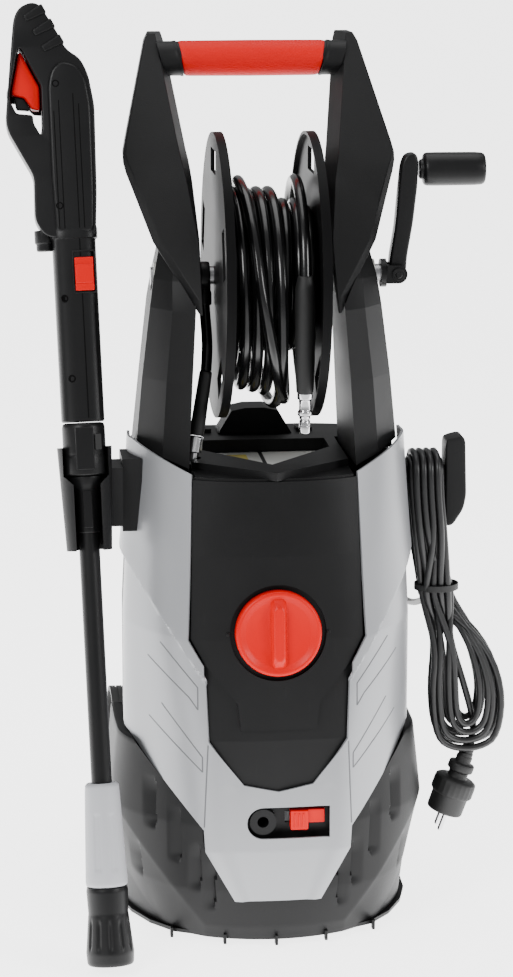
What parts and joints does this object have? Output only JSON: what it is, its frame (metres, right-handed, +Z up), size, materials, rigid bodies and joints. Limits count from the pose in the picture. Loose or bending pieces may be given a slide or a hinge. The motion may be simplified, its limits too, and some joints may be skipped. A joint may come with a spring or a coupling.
{
  "type": "pressure washer",
  "caption": "Upright electric pressure washer on two wheels, with hose reel and crank between the handle arms, trigger gun in a side holder and mains cord on a hook.",
  "frame": {"origin": "centre of the front foot's ground face", "axes": "+Z up, -Y the front with the switch and the outlet, +X towards the crank and the cord hook"},
  "size_m": [0.4938, 0.4491, 0.9211],
  "materials": {
    "black_shell": "moulded, fine texture",
    "satin_black": "satin",
    "silver_shell": "silver paint, satin",
    "red_plastic": "smooth",
    "red_grip": "soft, dotted",
    "grey_plastic": "moulded",
    "rubber": "matte",
    "hose_rubber": "smooth",
    "cord_rubber": "smooth",
    "wheel_plastic": "moulded",
    "chrome": "polished",
    "steel": "plain",
    "bush_plastic": "plain",
    "inner_plastic": "plain",
    "cast_alloy": "cast",
    "brass": "turned"
  },
  "bodies": {
    "machine": {"base_shell": "black_shell", "base_plate": "black_shell", "front_foot": "rubber", "front_cover": "silver_shell", "lower_panel": "satin_black", "centre_panel": "satin_black", "rear_shell": "black_shell", "top_tray": "black_shell", "left_column": "black_shell", "right_column": "black_shell", "left_arm": "black_shell", "right_arm": "black_shell", "handle_bar": "black_shell", "handle_grip": "red_grip", "axle_bushes": "bush_plastic", "link_fittings": "chrome", "link_hose": "hose_rubber", "rotary_switch": "inner_plastic", "outlet_socket": "satin_black", "motor_case": "cast_alloy", "pump_body": "cast_alloy", "pump_head": "cast_alloy", "motor_electrics": "inner_plastic", "water_inlet": "inner_plastic", "wheel_axle": "steel", "gun_holder": "black_shell", "cord_hook": "black_shell", "cord_relief": "rubber", "cord_lead": "cord_rubber", "cord_tail": "cord_rubber", "cord_hank": "cord_rubber", "cord_tie": "steel", "plug_body": "rubber", "plug_pins": "chrome"},
    "switch": {"switch_knob": "red_plastic"},
    "plug_lock": {"outlet_lock": "red_plastic"},
    "rotor": {"motor_rotor": "steel", "motor_fan": "inner_plastic"},
    "reel": {"reel_axle": "steel", "reel_flanges": "satin_black", "reel_drum": "satin_black", "hose_winding": "hose_rubber", "hose_end_sleeve": "rubber", "hose_nipple": "chrome", "crank_hub": "satin_black"},
    "crank": {"crank_arm": "satin_black"},
    "crank_grip": {"crank_knob": "satin_black"},
    "left_wheel_body": {"left_wheel": "wheel_plastic"},
    "right_wheel_body": {"right_wheel": "wheel_plastic"},
    "gun": {"gun_front": "satin_black", "gun_back": "satin_black", "gun_screws": "steel", "gun_valve": "brass", "lance_collar": "satin_black", "lance_tube": "satin_black", "nozzle_sleeve": "grey_plastic"},
    "trigger": {"gun_trigger": "red_plastic"},
    "trigger_catch": {"trigger_lock": "satin_black"},
    "release": {"lance_release": "red_plastic"},
    "nozzle": {"nozzle_head": "satin_black"}
  },
  "joints": [
    {"name": "switch_turn", "type": "hinge", "parent": "machine", "child": "switch", "pos_m": [0, -0.073, 0.326], "axis": [0, -0.9945, 0.1045], "range_deg": [0, 90]},
    {"name": "plug_lock_slide", "type": "slide", "parent": "machine", "child": "plug_lock", "axis": [-1, 0, 0], "range_m": [0, 0.008]},
    {"name": "rotor_spin", "type": "hinge", "parent": "machine", "child": "rotor", "pos_m": [0, 0.062, 0.28], "axis": [0, 0, 1], "continuous": true},
    {"name": "reel_spin", "type": "hinge", "parent": "machine", "child": "reel", "pos_m": [0, 0.06, 0.655], "axis": [1, 0, 0], "continuous": true},
    {"name": "crank_fold", "type": "hinge", "parent": "reel", "child": "crank", "pos_m": [0.132, 0.06, 0.655], "axis": [0, 1, 0], "range_deg": [0, 90]},
    {"name": "crank_grip_spin", "type": "hinge", "parent": "crank", "child": "crank_grip", "pos_m": [0.185, 0.06, 0.757], "axis": [1, 0, 0], "continuous": true},
    {"name": "left_wheel_spin", "type": "hinge", "parent": "machine", "child": "left_wheel_body", "pos_m": [-0.13, 0.222, 0.093], "axis": [1, 0, 0], "continuous": true},
    {"name": "right_wheel_spin", "type": "hinge", "parent": "machine", "child": "right_wheel_body", "pos_m": [0.13, 0.222, 0.093], "axis": [1, 0, 0], "continuous": true},
    {"name": "gun_lift", "type": "slide", "parent": "machine", "child": "gun", "axis": [-0.0294, 0.2079, 0.9777], "range_m": [0, 0.11]},
    {"name": "trigger_pull", "type": "hinge", "parent": "gun", "child": "trigger", "pos_m": [-0.23383, 0.07034, 0.86522], "axis": [-0.0062, -0.9781, 0.2078], "range_deg": [0, 10], "stiffness_Nm_per_rad": 0.4, "springref_deg": -8.59},
    {"name": "trigger_catch_turn", "type": "hinge", "parent": "trigger", "child": "trigger_catch", "pos_m": [-0.22693, 0.06042, 0.81875], "axis": [-0.0062, -0.9781, 0.2078], "range_deg": [0, 8]},
    {"name": "release_slide", "type": "slide", "parent": "gun", "child": "release", "axis": [-0.0294, 0.2079, 0.9777], "range_m": [0, 0.004], "stiffness_N_per_m": 400, "springref_m": -0.003},
    {"name": "nozzle_twist", "type": "hinge", "parent": "gun", "child": "nozzle", "pos_m": [-0.16827, -0.10368, 0.04811], "axis": [-0.0294, 0.2079, 0.9777], "range_deg": [0, 90]}
  ]
}
